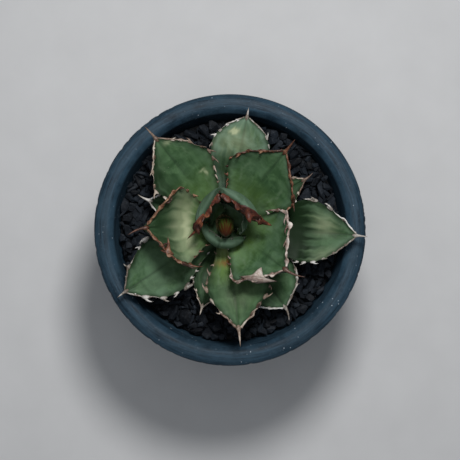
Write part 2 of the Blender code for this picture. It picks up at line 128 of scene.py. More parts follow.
class Finish:
    """A material, with short calls for the nodes that give it its pattern."""

    def __init__(self, name, **sockets):
        self.material = bpy.data.materials.new(name)
        self.material.use_nodes = True
        self.nodes = self.material.node_tree.nodes
        self.links = self.material.node_tree.links
        self.shader = self.nodes["Principled BSDF"]
        for key, value in sockets.items():
            self.shader.inputs[key.replace("_", " ").title().replace("Ior", "IOR")].default_value = value

    def put(self, node, inputs):
        for key, value in inputs.items():
            socket = node.inputs[key]
            if isinstance(value, bpy.types.NodeSocket):
                self.links.new(value, socket)
            else:
                socket.default_value = value
        return node

    def reading(self, name, output="Fac"):
        node = self.nodes.new("ShaderNodeAttribute")
        node.attribute_name = name
        return node.outputs[output]

    def place(self):
        return self.nodes.new("ShaderNodeTexCoord").outputs["Object"]

    def noise(self, where, scale, detail=4.0, rough=0.5, twist=0.0):
        node = self.nodes.new("ShaderNodeTexNoise")
        values = {"Vector": where, "Scale": scale, "Detail": detail}
        values.update(Roughness=rough, Distortion=twist)
        return self.put(node, values).outputs["Fac"]

    def cells(self, where, scale, feature="F1", output="Distance"):
        node = self.nodes.new("ShaderNodeTexVoronoi")
        node.feature = feature
        return self.put(node, {"Vector": where, "Scale": scale}).outputs[output]

    def sum(self, kind, a, b):
        node = self.nodes.new("ShaderNodeMath")
        node.operation = kind
        return self.put(node, {0: a, 1: b}).outputs[0]

    def times(self, a, b):
        return self.sum("MULTIPLY", a, b)

    def vector(self, kind, a, b=(0, 0, 0), output=0):
        node = self.nodes.new("ShaderNodeVectorMath")
        node.operation = kind
        return self.put(node, {0: a, 1: b}).outputs[output]

    def join(self, x, y, z):
        return self.put(self.nodes.new("ShaderNodeCombineXYZ"), {0: x, 1: y, 2: z}).outputs[0]

    def split(self, vector):
        return self.put(self.nodes.new("ShaderNodeSeparateXYZ"), {0: vector}).outputs

    def span(self, value, low, high, to_low=0.0, to_high=1.0):
        """Turns low to high into to_low to to_high, and holds what lies outside at the ends."""
        node = self.nodes.new("ShaderNodeMapRange")
        return self.put(node, {0: value, 1: low, 2: high, 3: to_low, 4: to_high}).outputs[0]

    def blend(self, share, a, b):
        node = self.nodes.new("ShaderNodeMix")
        node.data_type = "RGBA"
        a = (*a, 1.0) if isinstance(a, tuple) else a
        b = (*b, 1.0) if isinstance(b, tuple) else b
        return self.put(node, {0: share, 6: a, 7: b}).outputs[2]

    def bump(self, height, strength, depth, under=None):
        node = self.nodes.new("ShaderNodeBump")
        self.put(node, {"Height": height, "Strength": strength, "Distance": depth})
        if under is not None:
            self.links.new(under, node.inputs["Normal"])
        return node.outputs[0]

    def wear(self, **outputs):
        for key, socket in outputs.items():
            self.links.new(socket, self.shader.inputs[key.replace("_", " ").title()])
        return self.material


def pot_finish():
    plastic = Finish("dark_pot_plastic", roughness=0.5, specular_ior_level=0.14)
    place = plastic.place()
    x, y, z = plastic.split(place)
    flat = plastic.join(x, y, 0.0)
    radius = plastic.vector("LENGTH", flat, output="Value")
    heading = plastic.vector("NORMALIZE", flat)
    along_profile = plastic.sum("SUBTRACT", radius, z)
    ring = plastic.vector("MULTIPLY", heading, (0.004, 0.004, 0.0))
    ring_x, ring_y, _ = plastic.split(ring)
    turned_place = plastic.join(along_profile, ring_x, ring_y)
    lines = plastic.noise(turned_place, 1500.0, detail=3.0, rough=0.7)
    broad_lines = plastic.noise(turned_place, 420.0, detail=2.0, rough=0.6)
    clouds = plastic.noise(place, 60.0, detail=5.0, rough=0.6)
    grain = plastic.noise(place, 2600.0, detail=2.0)
    broad_share = plastic.times(broad_lines, 0.45)
    tone = plastic.sum("ADD", plastic.times(lines, 0.55), broad_share)
    colour = plastic.blend(plastic.span(tone, 0.39, 0.61), (0.005, 0.012, 0.020), (0.025, 0.055, 0.083))
    colour = plastic.blend(plastic.span(clouds, 0.40, 0.72, 0.0, 0.65), colour, (0.032, 0.062, 0.088))
    film = plastic.noise(place, 700.0, detail=6.0, rough=0.75)
    colour = plastic.blend(plastic.span(film, 0.54, 0.70, 0.0, 0.40), colour, (0.062, 0.096, 0.130))
    specks = plastic.span(plastic.cells(place, 420.0), 0.13, 0.06)
    chosen = plastic.span(plastic.noise(place, 130.0, detail=2.0), 0.52, 0.58)
    dust = plastic.times(specks, chosen)
    colour = plastic.blend(dust, colour, (0.40, 0.46, 0.52))
    grit = plastic.span(plastic.cells(place, 150.0), 0.085, 0.055)
    chosen_grit = plastic.span(plastic.noise(place, 45.0, detail=1.0), 0.54, 0.57)
    colour = plastic.blend(plastic.times(grit, chosen_grit), colour, (0.42, 0.46, 0.50))
    rough = plastic.span(clouds, 0.3, 0.7, 0.44, 0.62)
    normal = plastic.bump(lines, 0.60, 0.16 * MM)
    normal = plastic.bump(grain, 0.25, 0.05 * MM, normal)
    return plastic.wear(base_color=colour, roughness=rough, normal=normal)


def knock_depth(angle, knocks):
    """How far the rim's edge is knocked in at an angle."""
    depth = 0.0
    for at, width, deep in knocks:
        away = abs((angle - at + math.pi) % (2 * math.pi) - math.pi) * RIM_RADIUS
        depth = max(depth, deep * math.exp(-((away / width) ** 2)))
    return depth


def cut_out(piece, name, bm):
    """Cuts the closed forms in bm out of the piece."""
    mesh = bpy.data.meshes.new(name)
    bm.to_mesh(mesh)
    bm.free()
    cutter = bpy.data.objects.new(name, mesh)
    bpy.context.scene.collection.objects.link(cutter)
    cut = piece.modifiers.new(name, "BOOLEAN")
    cut.operation = "DIFFERENCE"
    cut.object = cutter
    bpy.context.view_layer.update()
    graph = bpy.context.evaluated_depsgraph_get()
    made = bpy.data.meshes.new_from_object(piece.evaluated_get(graph))
    piece.modifiers.clear()
    piece.data = made
    bpy.data.objects.remove(cutter)


plate = RIM_TOP - RIM_CROWN - RIM_PLATE
lip = RIM_TOP - RIM_DROP
corners = [
    (CENTRE_DRAIN_RADIUS, FOOT_HEIGHT, 0.4 * MM),
    (BASE_RADIUS - FOOT_WIDTH, FOOT_HEIGHT, 1.0 * MM),
    (BASE_RADIUS - FOOT_WIDTH, 0.0, 0.7 * MM),
    (BASE_RADIUS, 0.0, 1.2 * MM),
    (wall_radius(plate) + WALL, plate, 1.4 * MM),
    (RIM_RADIUS - WALL, plate, 1.6 * MM),
    (RIM_RADIUS - WALL, lip, 0.8 * MM),
    (RIM_RADIUS, lip, 0.9 * MM),
    (RIM_RADIUS, RIM_TOP - RIM_CROWN - 0.6 * MM, 1.2 * MM),
    (RIM_RADIUS - 0.22 * RIM_WIDTH, RIM_TOP - 0.25 * RIM_CROWN, 1.2 * MM),
    (RIM_RADIUS - 0.50 * RIM_WIDTH, RIM_TOP, 2.0 * MM),
    (RIM_RADIUS - 0.76 * RIM_WIDTH, RIM_TOP - 0.25 * RIM_CROWN, 1.4 * MM),
    (MOUTH_RADIUS, RIM_TOP - 2.0 * RIM_CROWN, 1.2 * MM),
    (wall_radius(FLOOR_TOP), FLOOR_TOP, 2.5 * MM),
    (CENTRE_DRAIN_RADIUS, FLOOR_TOP, 0.4 * MM),
]
outline = rounded_outline(corners)
chance = random.Random(5)
knocks = []
for _ in range(KNOCKS):
    at = chance.uniform(2.0, 6.6)
    width = chance.uniform(0.4, 1.3) * MM
    knocks.append((at, width, chance.uniform(0.10, 0.42) * MM))
verts = []
for r, z in outline:
    on_edge = r > RIM_RADIUS - 0.9 * MM and z > lip + 2 * MM
    for k in range(POT_SEGMENTS):
        angle = 2 * math.pi * k / POT_SEGMENTS
        reach = r - (knock_depth(angle, knocks) if on_edge else 0.0)
        verts.append((reach * math.cos(angle), reach * math.sin(angle), z))
faces = grid_faces(len(outline), POT_SEGMENTS)
last_row = (len(outline) - 1) * POT_SEGMENTS
for k in range(POT_SEGMENTS):
    nxt = (k + 1) % POT_SEGMENTS
    faces.append((last_row + k, last_row + nxt, nxt, k))
pot = add_piece("pot_shell", verts, faces, pot_finish())
holes = bmesh.new()
for k in range(DRAINS):
    turn = Matrix.Rotation(2 * math.pi * (k + 0.5) / DRAINS, 4, "Z")
    place = Matrix.Translation((DRAIN_CIRCLE_RADIUS, 0, FOOT_HEIGHT))
    drain = {"radius1": DRAIN_RADIUS, "radius2": DRAIN_RADIUS, "depth": 12 * MM}
    bmesh.ops.create_cone(holes, cap_ends=True, segments=40, matrix=turn @ place, **drain)
for k in range(NOTCHES):
    turn = Matrix.Rotation(2 * math.pi * (k + 0.5) / NOTCHES, 4, "Z")
    place = Matrix.Translation((BASE_RADIUS - FOOT_WIDTH / 2, 0, 0))
    size = Matrix.Diagonal((3 * FOOT_WIDTH, NOTCH_WIDTH, 1.2 * FOOT_HEIGHT, 1))
    bmesh.ops.create_cube(holes, size=1, matrix=turn @ place @ size)
cut_out(pot, "pot_holes", holes)
pot.data.shade_smooth()
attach(pot, "root")
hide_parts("pot")


# The potting mix. A moist, granular fill of bark fines and grit that holds the roots. It shows only
# through the drainage holes and in the gaps of the dressing.
def mix_finish():
    mix = Finish("potting_mix_grains", roughness=0.95, specular_ior_level=0.2)
    place = mix.place()
    grains = mix.cells(place, 480.0)
    crumbs = mix.noise(place, 350.0, detail=8.0, rough=0.7)
    colour = mix.blend(mix.span(crumbs, 0.35, 0.7), (0.022, 0.014, 0.009), (0.095, 0.062, 0.038))
    pale = mix.times(mix.span(grains, 0.28, 0.15), mix.span(crumbs, 0.56, 0.60))
    colour = mix.blend(pale, colour, (0.40, 0.36, 0.30))
    height = mix.sum("ADD", mix.times(grains, -0.6), crumbs)
    return mix.wear(base_color=colour, normal=mix.bump(height, 0.9, 1.0 * MM))


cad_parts["potting_mix"].data.materials[0] = mix_finish()


# The stem with its roots. A short woody stem, fibrous and ringed by old leaf scars, with thick pale
# roots that run out into the mix. It stands in the mix and carries every leaf.
def stem_finish():
    wood = Finish("fibrous_stem", roughness=0.8, specular_ior_level=0.25)
    place = wood.place()
    x, y, z = wood.split(place)
    fibres = wood.noise(wood.join(x, y, wood.times(z, 0.12)), 1500.0, detail=4.0, rough=0.7)
    scars = wood.noise(wood.join(0.0, 0.0, z), 700.0, detail=3.0)
    colour = wood.blend(wood.span(fibres, 0.3, 0.7), (0.085, 0.052, 0.026), (0.30, 0.24, 0.12))
    colour = wood.blend(wood.span(scars, 0.55, 0.65, 0.0, 0.6), colour, (0.045, 0.026, 0.014))
    height = wood.sum("ADD", fibres, wood.times(scars, 1.5))
    return wood.wear(base_color=colour, normal=wood.bump(height, 0.7, 0.5 * MM))


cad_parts["stem_and_roots"].data.materials[0] = stem_finish()

# The leaves. Each is one thick, waxy blade, grown from the stem a golden angle further round than the
# next younger one. It narrows at its foot, is widest beyond its middle and closes to a point. A horny
# border runs back from the point along both edges, with hooked teeth on small swellings below it.
DRESSING_TOP = RIM_TOP - 11 * MM
STEM_CENTRE = np.array((-2.0 * MM, 3.0 * MM, 0.0))
STEM_RISE = 21 * MM
GOLDEN_ANGLE = 137.508
HEART_AZIMUTH = 149.5
LEAF_STEP_DOWN = 1.33 * MM
FOOT_RADIUS = 3.5 * MM
BASE_CURL = 62.0
BASE_THICKNESS = 4.4 * MM
TIP_THICKNESS = 1.7 * MM
EDGE_THICKNESS = 0.32 * MM
STATIONS = 110
ACROSS = 45
FINE = 500
SECTION_STEPS = 16
OUTLINE = ((0.0, 0.46), (0.22, 0.52), (0.45, 0.84), (0.62, 1.0), (0.78, 0.77), (0.9, 0.40), (1.0, 0.05))
SHOULDERS = (0, 0, 0, 0, 0.20, 0.30, 0.02)  # what a blunt leaf adds to each of these widths
TOOTH_SIZES = ((0.0, 0.45), (0.3, 0.6), (0.6, 1.0), (0.8, 0.95), (1.0, 0.5))


@dataclass
class Claw:
    """One large tooth. It starts out from the edge, leant up by lean, and curls towards the tip by curl."""

    side: int  # 1 for the leaf's left edge, -1 for its right
    share: float  # where along the blade
    length: float
    lean: float  # degrees: 0 outwards, 90 straight up from the face, beyond that back over the blade
    curl: float  # degrees, negative towards the foot
    girth: float = 1.0


@dataclass
class Leaf:
    """One leaf, in millimetres and degrees, measured from the stem's axis and the dressing."""

    name: str
    nudge: float  # the leaf's own turn away from the exact spiral
    reach: float  # from the stem's axis out to the blade's tip
    rise: float  # from the dressing up to the blade's tip
    leaving: float  # the midrib's slope where it leaves the stem
    arriving: float  # the midrib's slope at the tip
    half_width: float
    curl: float  # how far each half of the blade turns up at its widest
    spine: float
    horn: str
    thickness: float = 1.0  # as a share of an ordinary leaf's
    skew: float = 0.0  # how much wider the left half is than the right
    blunt: float = 0.0  # how full the blade's shoulders are
    keel: float = 1.0  # below 1, the bend across the blade gathers at the midrib
    spine_slope: float | None = None  # where the spine doesn't run on in line with the midrib
    sway: float = 0.0  # how far the spine bends to the left
    border: float = 0.42  # radius of the horny border at the point
    border_from: float = 0.84  # where along the blade the border starts
    ribbon: float = 1.15  # how much wider than thick the border is
    tooth: float = 2.4
    pitch: float = 4.8  # from tooth to tooth along the edge
    young: float = 0.2  # how yellow the foot is
    bloom: float = 0.1  # how pale the wax makes it
    claws: tuple = ()
    pale_marks_and_highlights: tuple = ()  # real pale marks and painted highlights: (share along, place across, length, width, strength)
    painted_shade_marks: tuple = ()  # painted shade and shadow, and on the lowest leaves partly an older, darker tone; laid out as the pale marks above, and so are stains
    spine_tone: float | None = None  # below 0 for a spine darker than the border
    stains: tuple = ()


# The dark marks in this table are painted shade and painted shadow where neighbouring leaves shade a blade.
# The pale marks are real pale marks and painted highlights.
LEAVES = (
    Leaf("leaf_01", 14, 9.5, 41, 60, 100, 12.5, 70, 2.5, "pale", 0.40, skew=0.15, border=0.16,
         border_from=0.3, tooth=0.5, young=0.3, bloom=0.6),
    Leaf("leaf_02", 17, 7.6, 34, 0, 155, 16.0, 76, 1.4, "dim", 0.45, border=0.12, border_from=0.8,
         tooth=0.4, young=0.15, bloom=0.5, painted_shade_marks=((0.55, 0.8, 0.3, 0.25, 0.6),)),
    Leaf("leaf_03", 4, 15.5, 51, 30, 96, 24.8, 84, 3.5, "red", 0.55, skew=-0.05, keel=0.7, border=0.56,
         border_from=0.42, ribbon=2.4, tooth=0.6, pitch=8.0, bloom=0.6,
         claws=(Claw(1, 0.76, 3.0, 20, -70, 3.4), Claw(1, 0.68, 3.4, 10, -60, 3.2),
                Claw(1, 0.60, 6.0, -50, -25, 1.2), Claw(-1, 0.78, 4.4, 10, -50, 4.4),
                Claw(-1, 0.62, 6.0, -50, -70, 2.2))),
    Leaf("leaf_04", 3, 36.0, 41, 34, 48, 23.0, 44, 10.5, "pink", skew=0.065, border=0.50,
         border_from=0.45, ribbon=2.4, pitch=6.0, spine_tone=-0.7, young=0.75, bloom=0.35,
         spine_slope=22, sway=0.25,
         claws=(Claw(-1, 0.85, 6.4, 125, 20, 4.2), Claw(1, 0.78, 4.2, 120, 110),
                Claw(1, 0.70, 4.0, 120, 110), Claw(1, 0.86, 3.6, 115, 90),
                Claw(1, 0.50, 5.5, 70, -60, 1.1))),
    Leaf("leaf_05", 1, 38.5, 37, 32, 40, 21.5, 52, 9.5, "brown", border=0.56, border_from=0.58,
         ribbon=2.2, pitch=5.0, young=0.9, bloom=0.2, spine_slope=25, sway=0.3,
         claws=(Claw(1, 0.83, 7.0, 110, 40, 1.5), Claw(1, 0.87, 4.5, 100, -60, 1.3),
                Claw(-1, 0.82, 5.0, 100, -150), Claw(1, 0.64, 7.0, 20, -85, 1.0),
                Claw(1, 0.57, 7.0, 10, -80, 0.8)),
         pale_marks_and_highlights=((0.45, 0.05, 0.085, 0.85, 1.0), (0.52, 0.0, 0.15, 1.1, 0.55)),
         painted_shade_marks=((0.84, 0.0, 0.17, 1.3, 0.85), (0.20, 0.0, 0.07, 1.0, 0.5))),
    Leaf("leaf_06", 6, 45.0, 36, 30, 34, 20.5, 36, 9.0, "brown", border=0.45, border_from=0.62,
         ribbon=1.6, tooth=2.8, pitch=4.2, young=0.6, bloom=0.25,
         painted_shade_marks=((0.32, -0.6, 0.10, 0.5, 0.6),),
         claws=(Claw(-1, 0.72, 5.0, 30, 60, 1.3), Claw(-1, 0.47, 5.5, 40, 70, 1.2),
                Claw(-1, 0.66, 4.0, 20, -60), Claw(1, 0.88, 3.4, 60, -50, 1.3))),
    Leaf("leaf_07", 10, 51.5, 27, 24, 14, 16.5, 30, 9.0, "tan", skew=0.15, border=0.46, border_from=0.80,
         tooth=3.2, pitch=5.2, young=1.5,
         claws=(Claw(1, 0.91, 4.2, 70, -110), Claw(1, 0.84, 4.6, 60, -100, 1.1),
                Claw(1, 0.76, 5.2, 20, -75)),
         pale_marks_and_highlights=((0.17, 0.0, 0.10, 0.9, 0.45), (0.70, 0.1, 0.15, 0.6, 0.12)),
         stains=((0.325, 0.15, 0.036, 0.80, 1.5),), painted_shade_marks=((0.50, -0.9, 0.2, 0.3, 0.5),)),
    Leaf("leaf_08", 0, 54.0, 25, 22, 16, 17.0, 30, 8.5, "tan", blunt=0.1, border=0.34, border_from=0.72,
         tooth=2.9, young=0.5, bloom=0.15, painted_shade_marks=((0.75, 0.85, 0.35, 0.42, 1.0),),
         claws=(Claw(-1, 0.62, 3.8, 20, -70), Claw(-1, 0.53, 3.8, 30, -70), Claw(1, 0.64, 4.0, 10, -60)),
         pale_marks_and_highlights=((0.46, -0.62, 0.028, 0.05, 0.9), (0.50, -0.52, 0.010, 0.10, 0.6),
                     (0.92, -0.5, 0.02, 0.3, 0.5))),
    Leaf("leaf_09", 3, 64.5, 20, 14, 10, 16.6, 26, 5.8, "white", blunt=0.2, border=0.36,
         border_from=0.80, tooth=2.2, pitch=6.2, young=0.3, bloom=0.35,
         pale_marks_and_highlights=((0.75, 0.30, 0.09, 0.35, 0.42), (0.75, -0.8, 0.10, 0.2, 0.25)),
         painted_shade_marks=((0.50, -0.3, 0.16, 2.2, 1.7), (0.86, 0.9, 0.2, 0.3, 0.4)),
         claws=(Claw(1, 0.66, 2.8, 40, -60, 1.6), Claw(1, 0.80, 5.2, 40, -190),
                Claw(1, 0.91, 3.0, 60, 40), Claw(-1, 0.70, 3.4, 40, 85), Claw(-1, 0.62, 2.6, 40, -70),
                Claw(-1, 0.78, 2.8, 50, 80, 0.8))),
    Leaf("leaf_10", -0.5, 60.0, 17.5, 12, 10, 16.0, 26, 5.0, "white", blunt=0.3, pitch=6.0, young=0.25,
         bloom=0.35, border=0.36, border_from=0.78,
         painted_shade_marks=((0.45, 0.3, 0.16, 0.8, 0.25), (0.80, -0.9, 0.3, 0.25, 0.5)),
         claws=(Claw(-1, 0.62, 7.0, 40, 250), Claw(-1, 0.88, 4.0, 20, -30),
                Claw(1, 0.90, 6.0, 30, -100, 1.1), Claw(1, 0.78, 4.0, 20, -95, 1.2),
                Claw(1, 0.54, 6.0, 30, -170, 1.2))),
    Leaf("leaf_11", 2, 54.0, 16.5, 14, 0, 15.6, 26, 5.0, "white", blunt=0.9, border=0.30, tooth=1.9,
         young=0.4, bloom=0.9, border_from=0.86, claws=(Claw(-1, 0.87, 3.0, 30, 70),),
         pale_marks_and_highlights=((0.86, 0.40, 0.030, 0.18, 1.5), (0.76, 0.2, 0.12, 0.6, 0.30)),
         painted_shade_marks=((0.46, 0.1, 0.14, 1.4, 1.0),)),
    Leaf("leaf_12", 6, 51.0, 11.5, 8, 4, 15.5, 24, 6.5, "white", skew=0.1, blunt=0.8, tooth=2.0,
         border_from=0.6, bloom=0.2, sway=-0.35, painted_shade_marks=((0.55, -0.3, 0.30, 0.7, 0.8),)),
    Leaf("leaf_13", 1, 40.0, 10.5, 8, 4, 11.0, 22, 6.5, "white", border=0.35, tooth=2.2, sway=-0.15,
         painted_shade_marks=((0.5, 0.0, 0.45, 1.5, 0.6),)),
    Leaf("leaf_14", 5, 45.0, 9.5, 7, 4, 10.5, 22, 5.5, "tan", border=0.35, tooth=2.0, sway=0.2,
         painted_shade_marks=((0.5, 0.0, 0.40, 1.5, 0.7),)),
    Leaf("leaf_15", 7, 43.0, 8.5, 6, 4, 10.5, 22, 4.5, "tan", border=0.3, tooth=1.8,
         claws=(Claw(1, 0.90, 3.6, 40, -190, 0.8),), painted_shade_marks=((0.45, 0.0, 0.40, 1.5, 0.85),)),
)


def smooth_step(x, low, high):
    t = np.clip((x - low) / (high - low), 0, 1)
    return t * t * (3 - 2 * t)


def curve_through(knots, x):
    """A smooth curve through (x, y) knots, read at each x."""
    xs, ys = np.array(knots, float).T
    slopes = np.empty_like(ys)
    slopes[1:-1] = (ys[2:] - ys[:-2]) / (xs[2:] - xs[:-2])
    slopes[0] = (ys[1] - ys[0]) / (xs[1] - xs[0])
    slopes[-1] = (ys[-1] - ys[-2]) / (xs[-1] - xs[-2])
    i = np.clip(np.searchsorted(xs, x) - 1, 0, len(xs) - 2)
    h = xs[i + 1] - xs[i]
    t = (x - xs[i]) / h
    ends = (2 * t**3 - 3 * t**2 + 1) * ys[i] + (3 * t**2 - 2 * t**3) * ys[i + 1]
    return ends + h * ((t**3 - 2 * t**2 + t) * slopes[i] + (t**3 - t**2) * slopes[i + 1])


def unit(vectors):
    return vectors / np.maximum(np.linalg.norm(vectors, axis=-1, keepdims=True), 1e-12)


class Blade:
    """The form of one leaf, read at any share s from foot to tip and u from its right edge to its left."""

    def __init__(self, order, leaf):
        self.leaf = leaf
        self.chance = random.Random(100 + order)
        azimuth = math.radians(HEART_AZIMUTH - GOLDEN_ANGLE * order + leaf.nudge)
        out = np.array((math.cos(azimuth), math.sin(azimuth), 0.0))
        rise = np.array((0.0, 0.0, 1.0))
        foot_height = DRESSING_TOP + STEM_RISE - LEAF_STEP_DOWN * (order + 1)
        foot = STEM_CENTRE + out * FOOT_RADIUS + rise * foot_height
        tip = STEM_CENTRE + out * leaf.reach * MM + rise * (DRESSING_TOP + leaf.rise * MM)
        pull = 0.38 * np.linalg.norm(tip - foot)
        leaving, arriving = (
            out * math.cos(math.radians(slope)) + rise * math.sin(math.radians(slope))
            for slope in (leaf.leaving, leaf.arriving)
        )
        self.points = (foot, foot + leaving * pull, tip - arriving * pull, tip)
        self.arriving = arriving
        self.along = unit(tip - foot)
        self.out = out
        self.across = np.array((-out[1], out[0], 0.0))
        self.up = np.cross(self.along, self.across)
        self.phases = [self.chance.uniform(0, 2 * math.pi) for _ in range(8)]
        self.grid = np.linspace(0, 1, FINE)
        outline = [(s, width + leaf.blunt * more) for (s, width), more in zip(OUTLINE, SHOULDERS)]
        plain = np.maximum(curve_through(outline, self.grid), 0.03) * leaf.half_width * MM
        self.widths = {1: plain * (1 + leaf.skew), -1: plain * (1 - leaf.skew)}
        self.teeth = []
        self.edge_length = {}
        for side in (-1, 1):
            edge = self.edge(side, self.grid)[0]
            steps = np.linalg.norm(np.diff(edge, axis=0), axis=1)
            self.edge_length[side] = np.concatenate([[0], np.cumsum(steps)])
            self.set_teeth(side)
        for side in (-1, 1):
            swell = np.zeros(FINE)
            for tooth in self.teeth:
                if tooth.side == side:
                    length = min(tooth.length, 4.0) * MM
                    at = np.interp(tooth.share, self.grid, self.edge_length[side])
                    away = (self.edge_length[side] - at) / (0.36 * length + 0.5 * MM)
                    swell = np.maximum(swell, 0.30 * length * np.exp(-(away**2)))
            self.widths[side] = self.widths[side] + swell - 0.5 * MM * smooth_step(self.grid, 0.2, 0.4) * (
                1 - smooth_step(self.grid, 0.85, 1.0)
            )

    def set_teeth(self, side):
        """Teeth along one edge, a pitch apart, largest beyond the middle, and the claws."""
        leaf, chance = self.leaf, self.chance
        lengths = self.edge_length[side]
        claws = [claw for claw in leaf.claws if claw.side == side]
        at = (4.0 + chance.uniform(0, 3)) * MM
        while at < lengths[-1] * 0.94:
            share = float(np.interp(at, lengths, self.grid))
            size = float(curve_through(TOOTH_SIZES, share))
            length = leaf.tooth * size * chance.uniform(0.6, 1.3)
            lean = chance.uniform(-10, 75)
            curl = chance.choice((-1, -1, -1, 1)) * chance.uniform(50, 130)
            if min([abs(share - claw.share) for claw in claws], default=1.0) > 0.045:
                self.teeth.append(Claw(side, share, length, lean, curl, chance.uniform(0.8, 1.2)))
            at += leaf.pitch * MM * chance.uniform(0.7, 1.35) * (0.7 + 0.4 * size)
        self.teeth += claws

    def midrib(self, s):
        s = s[..., None]
        a, b, c, d = self.points
        return a * (1 - s) ** 3 + 3 * b * s * (1 - s) ** 2 + 3 * c * s**2 * (1 - s) + d * s**3

    def surface(self, s, u):
        """The blade's upper face before its fine relief: points, and the ways out of it and edgewards."""
        width = self.width(s, u)
        curl = np.radians(BASE_CURL + (self.leaf.curl - BASE_CURL) * smooth_step(s, 0.0, 0.4))
        steps = (np.arange(SECTION_STEPS) + 0.5) / SECTION_STEPS
        angles = (curl * np.sign(u))[..., None] * (np.abs(u)[..., None] * steps) ** self.leaf.keel
        sideways = (u * width * np.cos(angles).mean(-1))[..., None]
        upwards = (u * width * np.sin(angles).mean(-1))[..., None]
        angle = curl * np.sign(u) * np.abs(u) ** self.leaf.keel
        sine, cosine = np.sin(angle)[..., None], np.cos(angle)[..., None]
        face = self.up * cosine - self.across * sine
        edgewards = self.across * cosine + self.up * sine
        wave = np.sin(s * 21 + self.phases[0] + 1.7 * np.sign(u)) + 0.6 * np.sin(s * 37 + self.phases[1])
        wave = 0.38 * MM * wave * np.abs(u) ** 4 * smooth_step(s, 0.15, 0.4)
        wave = wave * (1 - smooth_step(s, 0.85, 1.0))
        point = self.midrib(s) + self.across * sideways + self.up * upwards
        return point + face * wave[..., None], face, edgewards * np.sign(u + 1e-9)[..., None]

    def width(self, s, u):
        left, right = (np.interp(s, self.grid, self.widths[side]) for side in (1, -1))
        return np.where(u < 0, right, left)

    def edge(self, side, s):
        return self.surface(s, np.full_like(s, float(side)))


def blade_mesh(blade, finish):
    leaf = blade.leaf
    s = 1 - (1 - np.linspace(0, 1, STATIONS)) ** 1.15
    v = np.linspace(-1, 1, ACROSS)
    u = np.sign(v) * (1 - (1 - np.abs(v)) ** 1.7)
    s, u = np.meshgrid(s, u, indexing="ij")
    point, face, _ = blade.surface(s, u)
    width = blade.width(s, u)
    off_centre = u * width
    in_from_edge = (1 - np.abs(u)) * width
    a, b, c, d, e, f = blade.phases[2:8]
    lumps = np.sin(7 * s + a) * np.sin(2.6 * u + b) + 0.6 * np.sin(15 * s + c + 2 * u)
    lumps = lumps + 0.5 * np.sin(9 * u + d + 5 * s)
    crease = np.exp(-((off_centre / (0.45 * MM)) ** 2)) * smooth_step(s, 0.35, 0.75)
    fan = np.exp(-(((np.abs(off_centre) - 0.22 * width) / (0.9 * MM)) ** 2)) * smooth_step(s, 0.55, 0.85)
    zigzag = 0.07 * np.abs(np.sin(19 * s + e))
    print_line = np.exp(-(((np.abs(u) - 0.60 + zigzag) * width / (0.45 * MM)) ** 2))
    print_line = print_line * smooth_step(s, 0.30, 0.42) * (1 - smooth_step(s, 0.78, 0.88))
    print_line = print_line * np.clip(0.5 + np.sin(11 * s + f + 3 * np.sign(u)), 0, 1)
    rounding = EDGE_THICKNESS * np.sqrt(1 - np.abs(u) ** 8)
    relief = 0.16 * MM * lumps * (1 - np.abs(u) ** 3) - 0.30 * MM * crease
    relief = relief + 0.12 * MM * fan + 0.10 * MM * print_line
    upper = point + face * (rounding + relief)[..., None]
    middle = leaf.thickness * (BASE_THICKNESS + (TIP_THICKNESS - BASE_THICKNESS) * s)
    ridge = 0.35 * MM * np.exp(-((off_centre / (1.6 * MM)) ** 2)) * smooth_step(s, 0.3, 0.8)
    lower = point - face * (rounding + middle * (1 - np.abs(u) ** 2.5) + ridge)[..., None]
    ring = np.concatenate([upper, lower[:, -2:0:-1]], axis=1)
    columns = ring.shape[1]
    verts = ring.reshape(-1, 3)
    faces = grid_faces(STATIONS, columns)
    faces.append(tuple(range(columns)))
    end = len(verts)
    verts = np.vstack([verts, blade.points[3] + blade.along * 0.4 * MM])
    first = (STATIONS - 1) * columns
    for k in range(columns):
        faces.append((first + k, first + (k + 1) % columns, end))

    def painted(marks):
        paint = np.zeros_like(s)
        for share, place, length_share, width_share, strength in marks:
            ragged = 0.25 * np.sin(23 * u + a) + 0.18 * np.sin(41 * u + b)
            away = ((s - share) / length_share + ragged) ** 2 + ((u - place) / width_share) ** 2
            paint = np.maximum(paint, strength * np.exp(-away))
        return paint

    def around(values, at_end):
        return np.append(np.concatenate([values, values[:, -2:0:-1]], axis=1).ravel(), at_end)

    under = np.concatenate([np.zeros_like(s), np.ones_like(s[:, 1:-1])], axis=1)
    length = np.linalg.norm(blade.points[3] - blade.points[0])
    coordinates = np.stack([around(off_centre, 0.0), around(s * length, length)], axis=1)
    coordinates = np.column_stack([coordinates, np.append(under.ravel(), 0) * 0.05 + leaf.reach * MM])
    return add_piece(
        leaf.name + "_blade",
        verts,
        faces,
        finish,
        leaf_place=coordinates,
        along=around(s, 1.0),
        inward=around(in_from_edge, 0.0),
        underside=np.append(under.ravel(), 0),
        print=around(print_line, 0.0),
        crease=around(crease, 1.0),
        # The pale reading carries real pale marks, painted highlights and painted light on a shaded leaf
        # foot.
        pale=around(painted(leaf.pale_marks_and_highlights), 0.0),
        # The dark reading carries painted shade and painted shadow.
        dark=around(painted(leaf.painted_shade_marks), 0.0),
        stain=around(painted(leaf.stains), 0.0),
    )


